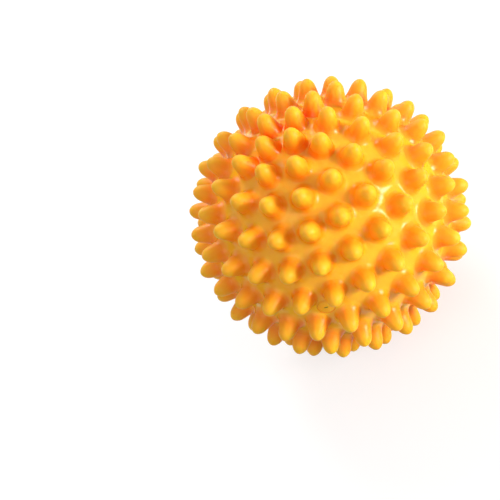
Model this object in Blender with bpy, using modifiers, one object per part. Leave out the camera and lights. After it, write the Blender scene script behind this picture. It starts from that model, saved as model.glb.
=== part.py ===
"""Spiky massage ball: a hollow, soft, round skin covered in blunt nubs, with a needle valve at its equator.

Metres, +Z up. The ball stands on the flats of its lowest ring of nubs, and the origin is on the surface that
it stands on, straight below its centre. The rings of nubs run round the Z axis. The valve faces -Y.
"""

import math

import bmesh
import bpy
from mathutils import Vector

MM = 0.001

# Skin
CORE_RADIUS = 38.0 * MM  # outside of the skin between the nubs
WALL = 2.4 * MM
CAVITY_DETAIL = 4  # subdivisions of the icosphere that hollows the skin

# Nubs
NUB_HEIGHT = 7.0 * MM
NUB_BASE_RADIUS = 3.7 * MM
NUB_WAIST_RADIUS = 2.95 * MM
NUB_WAIST_HEIGHT = 3.0 * MM
NUB_SHOULDER_RADIUS = 1.95 * MM
NUB_TIP_DROP = 0.95 * MM  # from the top of the domed tip down to its shoulder
NUB_SIDES = 8

# Spacing of the nubs, as bare skin between their bases
RING_GAP = 2.4 * MM  # between neighbours in one ring
ROW_GAP = 2.2 * MM  # between one ring and the next, on average
ROW_SPREAD = 1.1  # above 1, the rings stand closer together towards the poles
EQUATOR_BAND = 3.9 * MM  # between the two rings on either side of the equator
POLE_NUBS = 4
POLE_GAP = 1.1 * MM  # between the nubs round each pole
REST_FLAT_DEPTH = 0.5 * MM  # cut off the tips that the ball stands on

# Valve
PLUG_HEAD_RADIUS = 2.5 * MM
PLUG_SHANK_RADIUS = 1.6 * MM
PLUG_TIP_RADIUS = 1.1 * MM
PLUG_TIP_LENGTH = 1.2 * MM
PLUG_OVERHANG = 0.8 * MM  # past the inner end of the seat
SEAT_FLANGE_RADIUS = 6.0 * MM
SEAT_FLANGE_EDGE = 0.9 * MM
SEAT_SLEEVE_WALL = 1.7 * MM
SEAT_LENGTH = 8.0 * MM
SEAT_CHAMFER = 0.4 * MM
SLIT_LENGTH = 1.4 * MM
SLIT_WIDTH = 0.35 * MM
CLEARANCE = 0.3 * MM  # between pieces that touch
TURNED_STEPS = 32

# Worked out from the sizes above
CAVITY_RADIUS = CORE_RADIUS - WALL
TIP_RADIUS = CORE_RADIUS + NUB_HEIGHT
PORT_RADIUS = PLUG_HEAD_RADIUS + CLEARANCE
SEAT_BORE_RADIUS = PLUG_SHANK_RADIUS + CLEARANCE
SEAT_SLEEVE_RADIUS = SEAT_BORE_RADIUS + SEAT_SLEEVE_WALL
SEAT_DOME_RADIUS = CAVITY_RADIUS - CLEARANCE
POLE_RING_RADIUS = (2 * NUB_BASE_RADIUS + POLE_GAP) / (2 * math.sin(math.pi / POLE_NUBS))
POLE_RING_ANGLE = POLE_RING_RADIUS / CORE_RADIUS
EQUATOR_RING_ANGLE = math.pi / 2 - (NUB_BASE_RADIUS + EQUATOR_BAND / 2) / CORE_RADIUS
REST_DEPTH = TIP_RADIUS * math.cos(POLE_RING_ANGLE) - REST_FLAT_DEPTH  # below the ball's centre
VALVE_DIRECTION = Vector((0, -1, 0))

AMBER = (1.0, 0.47, 0.035, 1)
DEEP_AMBER = (0.95, 0.36, 0.02, 1)
PALE_AMBER = (1.0, 0.60, 0.12, 1)


def clear_scene():
    for obj in list(bpy.data.objects):
        bpy.data.objects.remove(obj, do_unlink=True)


def make_collection(name):
    collection = bpy.data.collections.new(name)
    bpy.context.scene.collection.children.link(collection)
    return collection


def make_material(name, colour, roughness):
    material = bpy.data.materials.new(name)
    material.use_nodes = True
    shader = material.node_tree.nodes["Principled BSDF"]
    shader.inputs["Base Color"].default_value = colour
    shader.inputs["Roughness"].default_value = roughness
    shader.inputs["Metallic"].default_value = 0.0
    material.diffuse_color = colour
    return material


def add_object(name, mesh, collection, parent, material=None):
    obj = bpy.data.objects.new(name, mesh)
    collection.objects.link(obj)
    obj.parent = parent
    if material:
        mesh.materials.append(material)
    return obj


def mesh_from(bm, name):
    mesh = bpy.data.meshes.new(name)
    bm.to_mesh(mesh)
    bm.free()
    return mesh


def shade(mesh, angle):
    mesh.shade_smooth()
    mesh.set_sharp_from_angle(angle=math.radians(angle))


def add_cutter(name, bm, collection, parent):
    cutter = add_object(name, mesh_from(bm, name), collection, parent)
    cutter.hide_render = True
    cutter.display_type = "WIRE"
    return cutter


def cut(obj, cutter):
    boolean = obj.modifiers.new(cutter.name, "BOOLEAN")
    boolean.operation = "DIFFERENCE"
    boolean.solver = "EXACT"
    boolean.object = cutter


def ring_angles():
    """Polar angles of the nub rings of the upper half, from the pole to the equator."""
    span = EQUATOR_RING_ANGLE - POLE_RING_ANGLE
    row_pitch = (2 * NUB_BASE_RADIUS + ROW_GAP) / CORE_RADIUS
    steps = max(1, round(span / row_pitch))
    return [POLE_RING_ANGLE + span * (step / steps) ** ROW_SPREAD for step in range(steps + 1)]


def ring_directions(polar):
    """Evenly spaced directions at this polar angle. The valve lies midway between two of them."""
    circle = 2 * math.pi * CORE_RADIUS * math.sin(polar)
    count = max(POLE_NUBS, round(circle / (2 * NUB_BASE_RADIUS + RING_GAP)))
    valve_turn = math.atan2(VALVE_DIRECTION.y, VALVE_DIRECTION.x)
    for index in range(count):
        turn = valve_turn + 2 * math.pi * (index + 0.5) / count
        yield Vector((math.sin(polar) * math.cos(turn), math.sin(polar) * math.sin(turn), math.cos(polar)))


def nub_directions():
    """Where the nubs point: the rings of the upper half, and their mirror images below."""
    for polar in ring_angles():
        for direction in ring_directions(polar):
            yield direction
            yield Vector((direction.x, direction.y, -direction.z))


def footprint(direction):
    """Points on the core, evenly round the base of the nub that points this way."""
    east = Vector((0, 0, 1)).cross(direction).normalized()
    north = direction.cross(east)
    spread = NUB_BASE_RADIUS / CORE_RADIUS
    for side in range(NUB_SIDES):
        turn = 2 * math.pi * (side + 0.5) / NUB_SIDES
        outward = east * math.cos(turn) + north * math.sin(turn)
        yield CORE_RADIUS * (direction * math.cos(spread) + outward * math.sin(spread))


def raise_nub(bm, face, direction):
    """Draws a nub up out of its footprint: a waist, a shoulder and a tip."""
    base = CORE_RADIUS * math.cos(NUB_BASE_RADIUS / CORE_RADIUS)
    shoulder_height = NUB_HEIGHT - NUB_TIP_DROP
    for radius, height in ((NUB_WAIST_RADIUS, NUB_WAIST_HEIGHT), (NUB_SHOULDER_RADIUS, shoulder_height)):
        face = bmesh.ops.extrude_discrete_faces(bm, faces=[face])["faces"][0]
        for vert in face.verts:
            outward = (vert.co - direction * vert.co.dot(direction)).normalized()
            vert.co = direction * (base + height) + outward * radius
    tip = bmesh.ops.poke(bm, faces=[face])["verts"][0]
    tip.co = direction * TIP_RADIUS


def studded_mesh():
    """The outside of the skin: a hull over the footprints of all the nubs, and a nub raised on each."""
    bm = bmesh.new()
    owner = {}
    for direction in nub_directions():
        for place in footprint(direction):
            owner[bm.verts.new(place)] = direction
    bmesh.ops.convex_hull(bm, input=bm.verts[:], use_existing_faces=False)
    inside = [face for face in bm.faces if len({id(owner[vert]) for vert in face.verts}) == 1]
    for face in bmesh.ops.dissolve_faces(bm, faces=inside)["region"]:
        raise_nub(bm, face, owner[face.verts[0]])
    bmesh.ops.triangulate(bm, faces=bm.faces[:])
    bmesh.ops.recalc_face_normals(bm, faces=bm.faces[:])
    return mesh_from(bm, "spiky_skin")


def cavity_cutter(cutters, centre):
    bm = bmesh.new()
    bmesh.ops.create_icosphere(bm, subdivisions=CAVITY_DETAIL, radius=CAVITY_RADIUS)
    return add_cutter("cavity", bm, cutters, centre)


def port_cutter(cutters, valve_axis):
    """The round hole through the skin that the head of the valve plug lies in."""
    bm = bmesh.new()
    depth = 4 * WALL
    bmesh.ops.create_cone(
        bm, cap_ends=True, segments=TURNED_STEPS, radius1=PORT_RADIUS, radius2=PORT_RADIUS, depth=depth
    )
    cutter = add_cutter("valve_port", bm, cutters, valve_axis)
    cutter.location.z = CORE_RADIUS - WALL / 2
    return cutter


def rest_cutter(cutters, centre):
    """A block whose top face cuts the lowest nubs flat, where the ball stands."""
    bm = bmesh.new()
    size = 2 * TIP_RADIUS
    bmesh.ops.create_cube(bm, size=size)
    cutter = add_cutter("rest_flats", bm, cutters, centre)
    cutter.location.z = -REST_DEPTH - size / 2
    return cutter


def make_skin(pieces, cutters, centre, valve_axis):
    skin = add_object("spiky_skin", studded_mesh(), pieces, centre, make_material("skin_pvc", AMBER, 0.28))
    cut(skin, cavity_cutter(cutters, centre))
    cut(skin, port_cutter(cutters, valve_axis))
    cut(skin, rest_cutter(cutters, centre))
    shade(skin.data, 50)
    return skin


def turned_object(name, profile, closed, pieces, valve_axis, material):
    """A piece turned round the valve's axis. Its profile runs from the top down its outer side."""
    bm = bmesh.new()
    verts = [bm.verts.new((radius, 0, height)) for radius, height in profile]
    for start, end in zip(verts, verts[1:]):
        bm.edges.new((start, end))
    if closed:
        bm.edges.new((verts[-1], verts[0]))
    obj = add_object(name, mesh_from(bm, name), pieces, valve_axis, material)
    screw = obj.modifiers.new("turn", "SCREW")
    screw.axis = "Z"
    screw.angle = 2 * math.pi
    screw.steps = TURNED_STEPS
    screw.render_steps = TURNED_STEPS
    screw.use_merge_vertices = True
    screw.merge_threshold = 0.00001
    screw.use_smooth_shade = True
    return obj


def dome_height(radius):
    """Height on the seat's domed face, which follows the inside of the skin."""
    return math.sqrt(SEAT_DOME_RADIUS**2 - radius**2)


def make_seat(pieces, valve_axis):
    """The moulded sleeve inside the skin. Its domed flange lies against the wall, round the port."""
    steps = 4
    width = SEAT_FLANGE_RADIUS - SEAT_BORE_RADIUS
    dome = [SEAT_BORE_RADIUS + width * step / steps for step in range(steps + 1)]
    end = dome_height(SEAT_BORE_RADIUS) - SEAT_LENGTH
    flange_under = dome_height(SEAT_FLANGE_RADIUS) - SEAT_FLANGE_EDGE
    profile = [(radius, dome_height(radius)) for radius in dome]
    profile += [
        (SEAT_FLANGE_RADIUS, flange_under),
        (SEAT_SLEEVE_RADIUS + SEAT_CHAMFER, flange_under - SEAT_CHAMFER),
        (SEAT_SLEEVE_RADIUS, flange_under - 2 * SEAT_CHAMFER),
        (SEAT_SLEEVE_RADIUS, end + SEAT_CHAMFER),
        (SEAT_SLEEVE_RADIUS - SEAT_CHAMFER, end),
        (SEAT_BORE_RADIUS, end),
    ]
    material = make_material("seat_pvc", PALE_AMBER, 0.4)
    return turned_object("valve_seat", profile, True, pieces, valve_axis, material)


def slit_cutter(cutters, valve_axis):
    """The slit that a pump needle goes through. It lies along the equator."""
    bm = bmesh.new()
    bmesh.ops.create_cube(bm, size=1)
    bmesh.ops.scale(bm, vec=(SLIT_LENGTH, SLIT_WIDTH, 2 * CORE_RADIUS), verts=bm.verts[:])
    cutter = add_cutter("needle_slit", bm, cutters, valve_axis)
    cutter.location.z = CORE_RADIUS
    return cutter


def make_plug(pieces, cutters, valve_axis):
    """The soft plug: a flat head flush with the skin, and a shank that fills the seat."""
    top = math.sqrt(CORE_RADIUS**2 - PORT_RADIUS**2)
    head_under = dome_height(SEAT_BORE_RADIUS) + CLEARANCE
    end = dome_height(SEAT_BORE_RADIUS) - SEAT_LENGTH - PLUG_OVERHANG
    rim = CLEARANCE
    profile = [
        (0, top),
        (PLUG_HEAD_RADIUS - rim, top),
        (PLUG_HEAD_RADIUS, top - rim),
        (PLUG_HEAD_RADIUS, head_under),
        (PLUG_SHANK_RADIUS, head_under),
        (PLUG_SHANK_RADIUS, end + PLUG_TIP_LENGTH),
        (PLUG_TIP_RADIUS, end),
        (0, end),
    ]
    material = make_material("plug_rubber", DEEP_AMBER, 0.45)
    plug = turned_object("valve_plug", profile, False, pieces, valve_axis, material)
    cut(plug, slit_cutter(cutters, valve_axis))
    return plug


def main():
    clear_scene()
    pieces = make_collection("spiky_massage_ball")
    cutters = make_collection("cutters")
    centre = add_object("ball_centre", None, pieces, None)
    centre.location.z = REST_DEPTH
    valve_axis = add_object("valve_axis", None, pieces, centre)
    valve_axis.rotation_euler = VALVE_DIRECTION.to_track_quat("Z", "Y").to_euler()
    make_skin(pieces, cutters, centre, valve_axis)
    make_seat(pieces, valve_axis)
    make_plug(pieces, cutters, valve_axis)
    bpy.context.view_layer.update()


main()
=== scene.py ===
"""Looks of the spiky massage ball.

A finely moulded skin of glossy amber PVC, its valve, and a white studio.
"""
import math
import random

import bmesh
import bpy
from mathutils import Matrix, Vector


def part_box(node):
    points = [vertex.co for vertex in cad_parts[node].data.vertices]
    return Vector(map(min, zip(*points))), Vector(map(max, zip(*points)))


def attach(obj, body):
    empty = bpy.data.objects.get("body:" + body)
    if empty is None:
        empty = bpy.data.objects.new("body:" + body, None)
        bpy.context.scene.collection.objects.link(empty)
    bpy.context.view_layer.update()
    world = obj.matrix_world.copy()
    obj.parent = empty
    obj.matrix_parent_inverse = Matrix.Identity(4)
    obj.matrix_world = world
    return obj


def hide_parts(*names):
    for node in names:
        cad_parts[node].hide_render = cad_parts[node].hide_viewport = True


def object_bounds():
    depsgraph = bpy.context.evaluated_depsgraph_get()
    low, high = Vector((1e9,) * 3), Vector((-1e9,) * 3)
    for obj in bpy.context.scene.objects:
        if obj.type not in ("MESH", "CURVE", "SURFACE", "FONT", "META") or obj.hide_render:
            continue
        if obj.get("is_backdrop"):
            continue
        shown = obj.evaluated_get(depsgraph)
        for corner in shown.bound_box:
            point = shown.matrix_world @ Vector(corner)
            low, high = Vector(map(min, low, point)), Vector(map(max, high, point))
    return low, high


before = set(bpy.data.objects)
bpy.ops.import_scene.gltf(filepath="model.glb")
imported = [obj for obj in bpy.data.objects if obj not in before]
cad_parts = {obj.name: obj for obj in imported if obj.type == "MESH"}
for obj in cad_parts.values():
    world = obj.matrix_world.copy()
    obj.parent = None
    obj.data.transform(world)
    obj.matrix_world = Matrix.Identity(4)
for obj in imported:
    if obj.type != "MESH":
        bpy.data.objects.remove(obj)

CAD_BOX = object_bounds()
MM = 0.001

# The ball, with the sizes of the solid
PLUG_LOW, PLUG_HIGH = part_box("valve_plug")
CENTRE = Vector((0, 0, (PLUG_LOW[2] + PLUG_HIGH[2]) / 2))
CORE_RADIUS = 38.0 * MM
WALL = 2.4 * MM
NUB_HEIGHT = 7.0 * MM
NUB_BASE_RADIUS = 3.7 * MM
RING_GAP = 2.4 * MM  # between neighbours in a ring
ROW_GAP = 2.2 * MM  # between one ring and the next
ROW_SPREAD = 1.1  # above 1, the rings lie a little closer together towards the poles
EQUATOR_BAND = 3.9 * MM  # between the two rings beside the equator
POLE_NUBS = 4
POLE_GAP = 1.1 * MM
PORT_RADIUS = 2.8 * MM
PORT_RIM = math.sqrt(CORE_RADIUS**2 - PORT_RADIUS**2)  # from the centre to the middle of the hole's rim
VALVE_TURN = -math.pi / 2

# Fine shape of a nub: a dome on a tapering stem, with a fillet round its foot
DOME_RADIUS = 1.95 * MM
DOME_DEPTH = 2.45 * MM
STEM_TAPER = 0.25  # how much its radius grows with its depth below the tip
FOOT_RADIUS = 4.7 * MM
FOOT_CLEARANCE = 0.1 * MM
FILLET_HEIGHT = 2.4 * MM
FILLET_CURVE = 2.6  # how quickly the fillet draws in as it rises
FILLET_CROWDING = 1.7  # how closely its rings of points crowd at the foot
NUB_SIDES = 24
DOME_STEPS, STEM_STEPS, FILLET_STEPS = 6, 4, 5
HEIGHT_SPREAD = 0.012
LEAN = math.tan(math.radians(1.0))
NUB_SEED = 7

# Fine shape of the skin
SKIN_SPACING = 1.5 * MM
CAVITY_RADIUS = CORE_RADIUS - WALL
CAVITY_SPACING = 3.0 * MM
CAVITY_CLEARANCE = 1.4 * PORT_RADIUS  # free of loose points, round the middle of the hole
PORT_SIDES = 48
PORT_ROUNDING = 0.2 * MM
ROUNDING_STEPS = 4
RIM_TOLERANCE = 0.01 * MM

# Fine shape of the plug
PLUG_SIDES = 64
PLUG_HEAD_RADIUS = 2.72 * MM
PLUG_HEAD_DEPTH = 2.3 * MM
PLUG_DOME = 0.12 * MM
PLUG_EDGE = 0.3 * MM
HEAD_STEPS, EDGE_STEPS = 6, 5
PLUG_SHANK_RADIUS = 1.6 * MM
NECK_FLARE, NECK_DEPTH = 0.1 * MM, 0.2 * MM  # where the shank meets the head
SHANK_END = ((PLUG_SHANK_RADIUS, 1.2 * MM), (1.3 * MM, 0.4 * MM), (1.1 * MM, 0.0))  # radius and height
SLIT_LENGTH = 1.5 * MM
SLIT_WIDTH = 0.36 * MM
SHARP_ANGLE = math.radians(40)

# Colours
WHITE = (1, 1, 1, 1)
AMBER = (1.0, 0.56, 0.026, 1)
NUB_AMBER = (1.0, 0.45, 0.016, 1)
TIP_AMBER = (1.0, 0.50, 0.020, 1)
DEEP_AMBER = (1.0, 0.34, 0.008, 1)
# Painted shade in the hollows between the nubs, deep red-orange
HOLLOW_PAINTED_SHADE = (1.0, 0.07, 0.0, 1)
# Painted shade in the valve's slit, dark brown
SLIT_PAINTED_SHADE = (0.1, 0.02, 0.001, 1)

# How far away a surface looks for what closes it in, which gives the painted shade in the skin's hollows and
# in the valve's slit
HOLLOW_SHADE_REACH = 12.0 * MM
SLIT_SHADE_REACH = 1.0 * MM
HOLLOW_SHADE_SAMPLES = 8
CLOSED, OPEN = 0.25, 0.95  # how much of what it sees is free, where it counts as closed in or as open

# Each material's colours on the skin, on the sides and the tips of the nubs, and of the painted shade in its
# hollows, the reach of that shade and its roughness
LOOKS = {
    "amber_pvc": ((AMBER, NUB_AMBER, TIP_AMBER, HOLLOW_PAINTED_SHADE), HOLLOW_SHADE_REACH, 0.2),
    "plug_rubber_amber": ((NUB_AMBER, AMBER, AMBER, SLIT_PAINTED_SHADE), SLIT_SHADE_REACH, 0.36),
    "seat_pvc_amber": ((TIP_AMBER, AMBER, AMBER, HOLLOW_PAINTED_SHADE), SLIT_SHADE_REACH, 0.4),
}

# Heights over the core between which the look of the PVC changes, and what it changes to
SIDE_BAND = (0.0, 1.2 * MM)
TIP_BAND = (3.0 * MM, NUB_HEIGHT)
# The painted shade in the hollows is full below the first height and falls to the share on the tips above
# the second
HOLLOW_SHADE_BAND = (0.5 * MM, 5.0 * MM)
HOLLOW_SHADE_ON_TIPS = 0.3
MATT_BAND = (0.5 * MM, 3.5 * MM)
NUB_MATT = 0.24
SCATTER_BAND = (0.0, 2.0 * MM)
SKIN_SCATTER_DEPTH = 0.5 * MM
NUB_SCATTER_DEPTH = 1.2 * MM

# Unevenness of the PVC: scale and detail of each pattern, and how strongly it shows
NOISE_ROUGHNESS = 0.55
MOTTLE_NOISE = (60.0, 3.0)
MOTTLE_VALUES = (0.35, 0.65)
MOTTLE_SHARE = 0.22
GLOSS_NOISE = (160.0, 4.0)
GLOSS_VALUES = (0.3, 0.7)
GLOSSIER, DULLER = 0.04, 0.06
WAVE_NOISE = (120.0, 2.0)
WAVE_STRENGTH, WAVE_DEPTH = 0.12, 0.5 * MM
GRAIN_NOISE = (1500.0, 3.0)
GRAIN_STRENGTH, GRAIN_DEPTH = 0.05, 0.1 * MM

# What is the same all over the PVC
SCATTER_WEIGHT = 0.9
SCATTER_RADIUS = (1.0, 0.3, 0.07)  # red light goes furthest
SPECULAR_LEVEL = 0.21

# Camera, at the photograph's view
CAMERA_AZIMUTH = math.radians(23.3)
CAMERA_ELEVATION = math.radians(41.6)
CAMERA_ROLL = math.radians(30.5)
CAMERA_DISTANCE = 0.60
CLIP_START = 0.01
SENSOR_WIDTH = 36.0
FRAME_WIDTH = 0.1596  # what the frame spans at the ball's distance
BALL_PIXEL = (330, 217)
FRAME_PIXELS = 500

# Each lamp's direction as right, up and back of the camera, its distance, its side and its power
LAMPS = {
    "key": ((0.8, 0.2, 0.56), 0.8, 0.28, 7.2),
    "fill": ((-0.5, -0.15, 0.85), 1.0, 0.6, 1.9),
    "back": ((-0.45, 0.85, -0.1), 1.0, 0.5, 5.5),
}
WORLD_STRENGTH = 0.46
WORLD_STRENGTH_SEEN = 1.0

# Floor, which glows less close to the ball, where its shadow falls
FLOOR_HALF_SIDE = 4.0
FLOOR_GREY = (0.4, 0.4, 0.4, 1)
FLOOR_ROUGHNESS = 0.9
FLOOR_NEAR, FLOOR_FAR = 0.25, 1.2
FLOOR_GLOW, FLOOR_GLOW_FAR = 0.64, 0.83


def mesh_object(name, bm):
    """Turns mesh code's result into a smooth-shaded object of the scene."""
    mesh = bpy.data.meshes.new(name)
    bm.to_mesh(mesh)
    bm.free()
    mesh.shade_smooth()
    obj = bpy.data.objects.new(name, mesh)
    bpy.context.scene.collection.objects.link(obj)
    return obj


def ring_angles():
    """How far each ring of nubs in the upper half lies from the pole, as an angle."""
    pole_radius = (2 * NUB_BASE_RADIUS + POLE_GAP) / (2 * math.sin(math.pi / POLE_NUBS))
    first = pole_radius / CORE_RADIUS
    last = math.pi / 2 - (NUB_BASE_RADIUS + EQUATOR_BAND / 2) / CORE_RADIUS
    steps = round((last - first) * CORE_RADIUS / (2 * NUB_BASE_RADIUS + ROW_GAP))
    return [first + (last - first) * (step / steps) ** ROW_SPREAD for step in range(steps + 1)]


def nub_directions():
    """The same rings as the solid has: mirrored halves, with the valve midway between two nubs."""
    for polar in ring_angles():
        around = 2 * math.pi * CORE_RADIUS * math.sin(polar)
        count = max(POLE_NUBS, round(around / (2 * NUB_BASE_RADIUS + RING_GAP)))
        for index in range(count):
            turn = VALVE_TURN + 2 * math.pi * (index + 0.5) / count
            flat = Vector((math.cos(turn), math.sin(turn), 0)) * math.sin(polar)
            for side in (1, -1):
                yield flat + Vector((0, 0, side * math.cos(polar)))


def circle_on_sphere(direction, radius, sides, sphere):
    """Points of a sphere at this distance round a direction, measured along the surface."""
    east = Vector((0, 0, 1)).cross(direction).normalized()
    north = direction.cross(east)
    spread = radius / sphere
    for side in range(sides):
        turn = 2 * math.pi * (side + 0.5) / sides
        outward = east * math.cos(turn) + north * math.sin(turn)
        yield sphere * (direction * math.cos(spread) + outward * math.sin(spread))


def spread_points(sphere, spacing):
    """Points spread evenly over a sphere along a spiral."""
    count = round(4 * math.pi * sphere**2 / (spacing**2 * math.sqrt(0.75)))
    golden = math.pi * (3 - math.sqrt(5))
    for index in range(count):
        z = 1 - 2 * (index + 0.5) / count
        ring = math.sqrt(1 - z * z)
        yield Vector((ring * math.cos(golden * index), ring * math.sin(golden * index), z)) * sphere


def nub_radius(depth):
    """Radius of a nub this far below its tip, without the fillet."""
    dome = math.sqrt(1 - (1 - min(depth / DOME_DEPTH, 1)) ** 2)
    return DOME_RADIUS * dome + STEM_TAPER * depth


def nub_profile(foot_radius):
    """Radius and height of each ring of points up a nub, from just above its foot to just below its tip."""
    rings = []
    fillet_width = foot_radius - nub_radius(NUB_HEIGHT)
    for step in range(1, FILLET_STEPS + 1):
        height = FILLET_HEIGHT * (step / FILLET_STEPS) ** FILLET_CROWDING
        fillet = fillet_width * (1 - height / FILLET_HEIGHT) ** FILLET_CURVE
        rings.append((nub_radius(NUB_HEIGHT - height) + fillet, height))
    stem_top = NUB_HEIGHT - DOME_DEPTH
    for step in range(1, STEM_STEPS):
        height = FILLET_HEIGHT + (stem_top - FILLET_HEIGHT) * step / STEM_STEPS
        rings.append((nub_radius(NUB_HEIGHT - height), height))
    for step in range(DOME_STEPS):
        depth = DOME_DEPTH * (1 - math.sin(math.pi / 2 * step / DOME_STEPS))
        rings.append((nub_radius(depth), NUB_HEIGHT - depth))
    return rings


def join_loops(bm, lower, upper):
    """Builds a band of faces between two loops of as many points."""
    for side in range(len(lower)):
        after = (side + 1) % len(lower)
        bm.faces.new((lower[side], lower[after], upper[after], upper[side]))


def wall_up(bm, loop, rings):
    """Builds a wall from a loop of points up through further rings of places. Returns its last loop."""
    for ring in rings:
        upper = [bm.verts.new(place) for place in ring]
        join_loops(bm, loop, upper)
        loop = upper
    return loop


def spokes_to(loop, axis):
    """Directions straight out from an axis to each point of a loop."""
    return [(vert.co - axis * vert.co.dot(axis)).normalized() for vert in loop]


def raise_nub(bm, loop, direction, foot_radius, chance):
    """Builds a nub on its foot, each a little taller or shorter and a little out of true."""
    stretch = 1 + chance.uniform(-HEIGHT_SPREAD, HEIGHT_SPREAD)
    lean = Vector((chance.uniform(-1, 1), chance.uniform(-1, 1), chance.uniform(-1, 1))) * LEAN
    lean -= direction * lean.dot(direction)
    base = CORE_RADIUS * math.cos(foot_radius / CORE_RADIUS)
    rise = CORE_RADIUS - base + NUB_HEIGHT
    spokes = spokes_to(loop, direction)
    rings = []
    for radius, height in nub_profile(foot_radius):
        up = base + height * rise / NUB_HEIGHT * stretch
        rings.append([direction * up + lean * (up - base) + spoke * radius for spoke in spokes])
    loop = wall_up(bm, loop, rings)
    tip = bm.verts.new(direction * (base + rise * stretch) + lean * rise)
    for side in range(len(loop)):
        bm.faces.new((loop[side], loop[(side + 1) % len(loop)], tip))


def on_one_foot(face, owner):
    """Whether all corners of a face are points of the same foot."""
    owners = {owner.get(vert) for vert in face.verts}
    return len(owners) == 1 and None not in owners


def hull_with_feet(feet, fill):
    """A hull over rings of points and loose points, open inside each ring. Returns it with their loops."""
    bm = bmesh.new()
    owner = {}
    for index, foot in enumerate(feet):
        for place in foot:
            owner[bm.verts.new(place)] = index
    for place in fill:
        bm.verts.new(place)
    bmesh.ops.convex_hull(bm, input=bm.verts[:], use_existing_faces=False)
    inside = [face for face in bm.faces if on_one_foot(face, owner)]
    regions = bmesh.ops.dissolve_faces(bm, faces=inside)["region"]
    loops = {owner[face.verts[0]]: [corner.vert for corner in face.loops] for face in regions}
    bmesh.ops.delete(bm, geom=regions, context="FACES_ONLY")
    return bm, loops


def far_from(point, directions, sphere, distance):
    """Whether a point of a sphere lies further than this from every direction, along the surface."""
    limit = math.cos(distance / sphere)
    unit = point.normalized()
    return all(unit.dot(direction) < limit for direction in directions)


def foot_radii(directions, valve, port_foot):
    """The radius of each nub's foot, kept clear of its nearest neighbour's and of the valve."""
    for direction in directions:
        nearest = max(direction.dot(other) for other in directions if other is not direction)
        beside_nub = math.acos(nearest) * CORE_RADIUS / 2 - FOOT_CLEARANCE
        beside_valve = direction.angle(valve) * CORE_RADIUS - port_foot - 2 * FOOT_CLEARANCE
        yield min(FOOT_RADIUS, beside_nub, beside_valve)


def outer_skin(valve):
    """The outside of the skin with its nubs. Returns it with the loop round the hole for the valve."""
    directions = list(nub_directions())
    port_foot = PORT_RADIUS + PORT_ROUNDING
    radii = list(foot_radii(directions, valve, port_foot))
    feet = [circle_on_sphere(way, radius, NUB_SIDES, CORE_RADIUS) for way, radius in zip(directions, radii)]
    feet.append(circle_on_sphere(valve, port_foot, PORT_SIDES, CORE_RADIUS))
    fill = [
        point
        for point in spread_points(CORE_RADIUS, SKIN_SPACING)
        if far_from(point, directions, CORE_RADIUS, FOOT_RADIUS + SKIN_SPACING / 2)
        and far_from(point, [valve], CORE_RADIUS, port_foot + SKIN_SPACING / 2)
    ]
    bm, loops = hull_with_feet(feet, fill)
    chance = random.Random(NUB_SEED)
    for index, (direction, radius) in enumerate(zip(directions, radii)):
        raise_nub(bm, loops[index], direction, radius, chance)
    return bm, loops[len(directions)]


def sink_port(bm, loop, valve):
    """Rounds the rim of the hole and builds its wall down through the skin. Returns its inner rim."""
    levels = []
    for step in range(1, ROUNDING_STEPS + 1):
        turn = math.pi / 2 * step / ROUNDING_STEPS
        out = PORT_RADIUS + PORT_ROUNDING * (1 - math.sin(turn))
        levels.append((out, PORT_RIM - PORT_ROUNDING * (1 - math.cos(turn))))
    spread = PORT_RADIUS / CAVITY_RADIUS
    levels.append((CAVITY_RADIUS * math.sin(spread), CAVITY_RADIUS * math.cos(spread)))
    spokes = spokes_to(loop, valve)
    return wall_up(bm, loop, [[valve * up + spoke * out for spoke in spokes] for out, up in levels])


def add_cavity(bm, valve):
    """The inside of the skin, open at the valve. Returns the rim of its hole."""
    foot = circle_on_sphere(valve, PORT_RADIUS, PORT_SIDES, CAVITY_RADIUS)
    fill = [
        point
        for point in spread_points(CAVITY_RADIUS, CAVITY_SPACING)
        if far_from(point, [valve], CAVITY_RADIUS, CAVITY_CLEARANCE)
    ]
    inner, _ = hull_with_feet([foot], fill)
    mesh = bpy.data.meshes.new("cavity")
    inner.to_mesh(mesh)
    inner.free()
    before = set(bm.verts)
    bm.from_mesh(mesh)
    bpy.data.meshes.remove(mesh)
    return [vert for vert in bm.verts if vert not in before and vert.is_boundary]


def stand_flat(bm):
    """Flattens whatever would reach below the floor, under the nubs that the ball stands on."""
    for vert in bm.verts:
        vert.co.z = max(vert.co.z, 0)


def make_skin():
    """The skin as one closed body: outside, hole and inside, with the two rims welded."""
    valve = Vector((math.cos(VALVE_TURN), math.sin(VALVE_TURN), 0))
    bm, port = outer_skin(valve)
    rims = sink_port(bm, port, valve) + add_cavity(bm, valve)
    bmesh.ops.remove_doubles(bm, verts=rims, dist=RIM_TOLERANCE)
    bmesh.ops.translate(bm, vec=CENTRE, verts=bm.verts[:])
    stand_flat(bm)
    bmesh.ops.recalc_face_normals(bm, faces=bm.faces[:])
    return mesh_object("skin", bm)


def circle(radius, height):
    """Points round the plug's axis, which points up while it is built."""
    for side in range(PLUG_SIDES):
        turn = 2 * math.pi * side / PLUG_SIDES
        yield Vector((radius * math.cos(turn), radius * math.sin(turn), height))


def slit_outline(height):
    """As many points round the slit, a narrow ellipse."""
    for point in circle(SLIT_LENGTH / 2, height):
        yield Vector((point.x, point.y * SLIT_WIDTH / SLIT_LENGTH, height))


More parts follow.
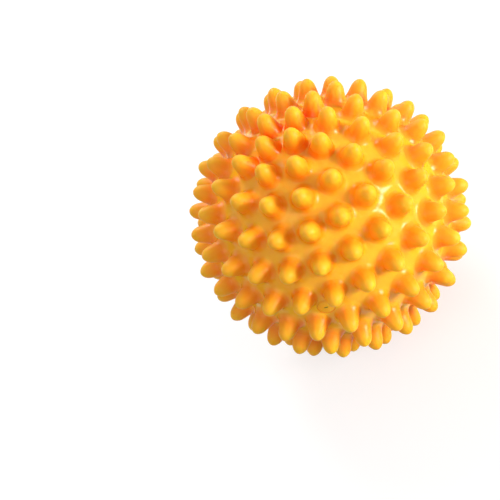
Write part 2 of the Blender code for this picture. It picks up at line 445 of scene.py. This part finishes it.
def plug_head(top):
    """Rings from the slit outwards over the low dome of the head and round its edge."""
    flat_radius = PLUG_HEAD_RADIUS - PLUG_EDGE
    for step in range(HEAD_STEPS + 1):
        ring = []
        for inner, outer in zip(slit_outline(0), circle(flat_radius, 0)):
            place = inner.lerp(outer, step / HEAD_STEPS)
            place.z = top + PLUG_DOME * (1 - (place.length / PLUG_HEAD_RADIUS) ** 2)
            ring.append(place)
        yield ring
    for step in range(1, EDGE_STEPS + 1):
        turn = math.pi / 2 * step / EDGE_STEPS
        radius = flat_radius + PLUG_EDGE * math.sin(turn)
        yield list(circle(radius, top - PLUG_EDGE * (1 - math.cos(turn))))


def plug_rings():
    """All rings of the plug, from the top of its slit over the head and down the shank to the slit's end."""
    end = PORT_RIM - float(PLUG_HIGH[1] - PLUG_LOW[1])
    under = PORT_RIM - PLUG_HEAD_DEPTH
    levels = [
        (PLUG_HEAD_RADIUS, under),
        (PLUG_SHANK_RADIUS + NECK_FLARE, under),
        (PLUG_SHANK_RADIUS, under - NECK_DEPTH),
    ]
    levels += [(radius, end + height) for radius, height in SHANK_END]
    rings = list(plug_head(PORT_RIM))
    rings += [list(circle(radius, height)) for radius, height in levels]
    rings.append(list(slit_outline(end)))
    return rings


def make_plug():
    """The plug of the valve: a low domed head that fills the hole, and a shank, with a slit all through."""
    rings = plug_rings()
    bm = bmesh.new()
    first = [bm.verts.new(place) for place in rings[0]]
    last = wall_up(bm, first, rings[1:])
    join_loops(bm, last, first)
    bmesh.ops.recalc_face_normals(bm, faces=bm.faces[:])
    plug = mesh_object("plug", bm)
    plug.data.set_sharp_from_angle(angle=SHARP_ANGLE)
    turn = Vector((0, -1, 0)).to_track_quat("Z", "Y").to_matrix().to_4x4()
    plug.data.transform(Matrix.Translation(CENTRE) @ turn)
    return plug


class Nodes:
    """The node tree of a material or world, with short calls to add and link nodes."""

    def __init__(self, owner):
        self.owner = owner
        owner.use_nodes = True
        self.tree = owner.node_tree

    def add(self, kind, **settings):
        node = self.tree.nodes.new(kind)
        for key, value in settings.items():
            setattr(node, key, value)
        return node

    def link(self, start, end):
        self.tree.links.new(start, end)

    def noise(self, coordinates, scale, detail):
        node = self.add("ShaderNodeTexNoise")
        node.inputs["Scale"].default_value = scale
        node.inputs["Detail"].default_value = detail
        node.inputs["Roughness"].default_value = NOISE_ROUGHNESS
        self.link(coordinates, node.inputs["Vector"])
        return node.outputs["Fac"]

    def remap(self, value, low, high, to_low, to_high):
        """Turns the range from low to high smoothly into another one."""
        node = self.add("ShaderNodeMapRange", interpolation_type="SMOOTHSTEP")
        for key, number in (("From Min", low), ("From Max", high), ("To Min", to_low), ("To Max", to_high)):
            node.inputs[key].default_value = number
        self.link(value, node.inputs["Value"])
        return node.outputs["Result"]

    def mix(self, share, first, second):
        """Mixes two colours, each a plain one or what a node gives."""
        node = self.add("ShaderNodeMix", data_type="RGBA")
        self.link(share, node.inputs["Factor"])
        for socket, colour in ((node.inputs["A"], first), (node.inputs["B"], second)):
            if isinstance(colour, tuple):
                socket.default_value = colour
            else:
                self.link(colour, socket)
        return node.outputs["Result"]

    def math(self, operation, first, second):
        """Works out one value from two, each a plain number or what a node gives."""
        node = self.add("ShaderNodeMath", operation=operation)
        for socket, value in zip(node.inputs, (first, second)):
            if isinstance(value, (int, float)):
                socket.default_value = value
            else:
                self.link(value, socket)
        return node.outputs["Value"]

    def bump(self, height, strength, distance, below=None):
        node = self.add("ShaderNodeBump")
        node.inputs["Strength"].default_value = strength
        node.inputs["Distance"].default_value = distance
        self.link(height, node.inputs["Height"])
        if below:
            self.link(below, node.inputs["Normal"])
        return node.outputs["Normal"]


def height_over_core(nodes, place):
    """How far a point of the surface lies from the ball's centre, less the core's radius."""
    offset = nodes.add("ShaderNodeVectorMath", operation="SUBTRACT")
    offset.inputs[1].default_value = CENTRE
    nodes.link(place, offset.inputs[0])
    length = nodes.add("ShaderNodeVectorMath", operation="LENGTH")
    nodes.link(offset.outputs["Vector"], length.inputs[0])
    return nodes.math("SUBTRACT", length.outputs["Value"], CORE_RADIUS)


def painted_shade_mask(nodes, reach):
    """How much painted shade a point gets: 0 where the surface lies open, up to 1 where it is closed in by
    what stands round it.
    """
    openness = nodes.add("ShaderNodeAmbientOcclusion", samples=HOLLOW_SHADE_SAMPLES, only_local=True)
    openness.inputs["Distance"].default_value = reach
    return nodes.remap(openness.outputs["AO"], CLOSED, OPEN, 1.0, 0.0)


def pvc_colour(nodes, place, height, colours, reach):
    """Deeper in colour on the sides of the nubs, with painted shade in the hollows and a faint mottle all
    over.
    """
    skin, nub, tip, painted_shade_colour = colours
    side_share = nodes.remap(height, *SIDE_BAND, 0.0, 1.0)
    tip_share = nodes.remap(height, *TIP_BAND, 0.0, 1.0)
    colour = nodes.mix(tip_share, nodes.mix(side_share, skin, nub), tip)
    # Painted shade: where the surface is closed in, its colour goes towards the shade colour, less so up the
    # nubs
    shade_kept_by_height = nodes.remap(height, *HOLLOW_SHADE_BAND, 1.0, HOLLOW_SHADE_ON_TIPS)
    painted_shade_share = nodes.math("MULTIPLY", painted_shade_mask(nodes, reach), shade_kept_by_height)
    colour = nodes.mix(painted_shade_share, colour, painted_shade_colour)
    mottle = nodes.remap(nodes.noise(place, *MOTTLE_NOISE), *MOTTLE_VALUES, 0.0, MOTTLE_SHARE)
    return nodes.mix(mottle, colour, DEEP_AMBER)


def pvc_roughness(nodes, place, height, roughness):
    """Unevenly glossy on the skin, and duller up the nubs."""
    smears = nodes.noise(place, *GLOSS_NOISE)
    gloss = nodes.remap(smears, *GLOSS_VALUES, roughness - GLOSSIER, roughness + DULLER)
    matt = nodes.remap(height, *MATT_BAND, 0.0, NUB_MATT)
    return nodes.math("ADD", gloss, matt)


def pvc_grain(nodes, place):
    """The slight waves of a soft moulding, with a fine grain on them."""
    wave = nodes.bump(nodes.noise(place, *WAVE_NOISE), WAVE_STRENGTH, WAVE_DEPTH)
    return nodes.bump(nodes.noise(place, *GRAIN_NOISE), GRAIN_STRENGTH, GRAIN_DEPTH, wave)


def pvc_material(name):
    """Soft PVC, which light goes a little way into."""
    colours, reach, roughness = LOOKS[name]
    nodes = Nodes(bpy.data.materials.new(name))
    inputs = nodes.tree.nodes["Principled BSDF"].inputs
    place = nodes.add("ShaderNodeTexCoord").outputs["Object"]
    height = height_over_core(nodes, place)
    nodes.link(pvc_colour(nodes, place, height, colours, reach), inputs["Base Color"])
    nodes.link(pvc_roughness(nodes, place, height, roughness), inputs["Roughness"])
    nodes.link(pvc_grain(nodes, place), inputs["Normal"])
    depth = nodes.remap(height, *SCATTER_BAND, SKIN_SCATTER_DEPTH, NUB_SCATTER_DEPTH)
    nodes.link(depth, inputs["Subsurface Scale"])
    inputs["Subsurface Weight"].default_value = SCATTER_WEIGHT
    inputs["Subsurface Radius"].default_value = SCATTER_RADIUS
    inputs["Specular IOR Level"].default_value = SPECULAR_LEVEL
    return nodes.owner


def seen_share(nodes):
    """1 for the camera's rays and for mirrored or refracted ones, and 0 for light that falls on things."""
    path = nodes.add("ShaderNodeLightPath").outputs
    seen = nodes.math("MAXIMUM", path["Is Camera Ray"], path["Is Glossy Ray"])
    return nodes.math("MAXIMUM", seen, path["Is Transmission Ray"])


def floor_material():
    """A pale floor that looks white, and keeps the ball's shadow."""
    nodes = Nodes(bpy.data.materials.new("floor_white"))
    inputs = nodes.tree.nodes["Principled BSDF"].inputs
    inputs["Base Color"].default_value = FLOOR_GREY
    inputs["Roughness"].default_value = FLOOR_ROUGHNESS
    inputs["Emission Color"].default_value = WHITE
    distance = nodes.add("ShaderNodeVectorMath", operation="LENGTH")
    nodes.link(nodes.add("ShaderNodeTexCoord").outputs["Object"], distance.inputs[0])
    glow = nodes.remap(distance.outputs["Value"], FLOOR_NEAR, FLOOR_FAR, FLOOR_GLOW, FLOOR_GLOW_FAR)
    nodes.link(nodes.math("MULTIPLY", seen_share(nodes), glow), inputs["Emission Strength"])
    return nodes.owner


def add_floor():
    bm = bmesh.new()
    bmesh.ops.create_grid(bm, x_segments=1, y_segments=1, size=FLOOR_HALF_SIDE)
    floor = mesh_object("floor", bm)
    floor.data.materials.append(floor_material())
    floor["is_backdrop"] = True


def camera_axes():
    """Right, up and back of the camera."""
    turn, rise = CAMERA_AZIMUTH, CAMERA_ELEVATION
    back = Vector((math.sin(turn) * math.cos(rise), -math.cos(turn) * math.cos(rise), math.sin(rise)))
    level = Vector((math.cos(turn), math.sin(turn), 0))
    upright = back.cross(level)
    right = level * math.cos(CAMERA_ROLL) - upright * math.sin(CAMERA_ROLL)
    up = upright * math.cos(CAMERA_ROLL) + level * math.sin(CAMERA_ROLL)
    return right, up, back


def add_camera():
    """Places the camera and aims it so that the ball's centre falls on its pixel."""
    right, up, back = camera_axes()
    data = bpy.data.cameras.new("camera")
    data.sensor_width = SENSOR_WIDTH
    data.lens = SENSOR_WIDTH * CAMERA_DISTANCE / FRAME_WIDTH
    data.clip_start = CLIP_START
    camera = bpy.data.objects.new("camera", data)
    bpy.context.scene.collection.objects.link(camera)
    camera.location = CENTRE + back * CAMERA_DISTANCE
    pixel = FRAME_WIDTH / FRAME_PIXELS
    across = (BALL_PIXEL[0] - FRAME_PIXELS / 2) * pixel
    above = (FRAME_PIXELS / 2 - BALL_PIXEL[1]) * pixel
    forward = (CENTRE - right * across - up * above - camera.location).normalized()
    side = forward.cross(up).normalized()
    turn = Matrix((side, side.cross(forward), -forward)).transposed()
    camera.rotation_mode = "QUATERNION"
    camera.rotation_quaternion = turn.to_quaternion()
    bpy.context.scene.camera = camera


def add_light(name, direction, distance, size, power):
    """Places a soft square lamp that faces the ball."""
    right, up, back = camera_axes()
    way = (right * direction[0] + up * direction[1] + back * direction[2]).normalized()
    data = bpy.data.lights.new(name, "AREA")
    data.size = size
    data.energy = power
    light = bpy.data.objects.new(name, data)
    bpy.context.scene.collection.objects.link(light)
    light.location = CENTRE + way * distance
    light.rotation_mode = "QUATERNION"
    light.rotation_quaternion = way.to_track_quat("Z", "Y")


def white_world():
    """Soft light from all round, behind which the camera sees plain white."""
    nodes = Nodes(bpy.data.worlds.new("studio"))
    inputs = nodes.tree.nodes["Background"].inputs
    inputs["Color"].default_value = WHITE
    strength = nodes.remap(seen_share(nodes), 0.0, 1.0, WORLD_STRENGTH, WORLD_STRENGTH_SEEN)
    nodes.link(strength, inputs["Strength"])
    bpy.context.scene.world = nodes.owner


def add_lights():
    for name, settings in LAMPS.items():
        add_light(name, *settings)
    white_world()


def dress():
    """Puts the fine skin and plug in place of the solids, and gives the seat a better material."""
    skin = make_skin()
    skin.data.materials.append(pvc_material("amber_pvc"))
    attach(skin, "ball")
    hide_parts("spiky_skin")
    plug = make_plug()
    plug.data.materials.append(pvc_material("plug_rubber_amber"))
    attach(plug, "plug")
    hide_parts("valve_plug")
    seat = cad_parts["valve_seat"]
    seat.data.materials.clear()
    seat.data.materials.append(pvc_material("seat_pvc_amber"))


add_camera()
add_lights()
add_floor()
dress()
bpy.context.scene.view_settings.view_transform = "Standard"

cad, visual = ([list(map(float, corner)) for corner in box] for box in (CAD_BOX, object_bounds()))
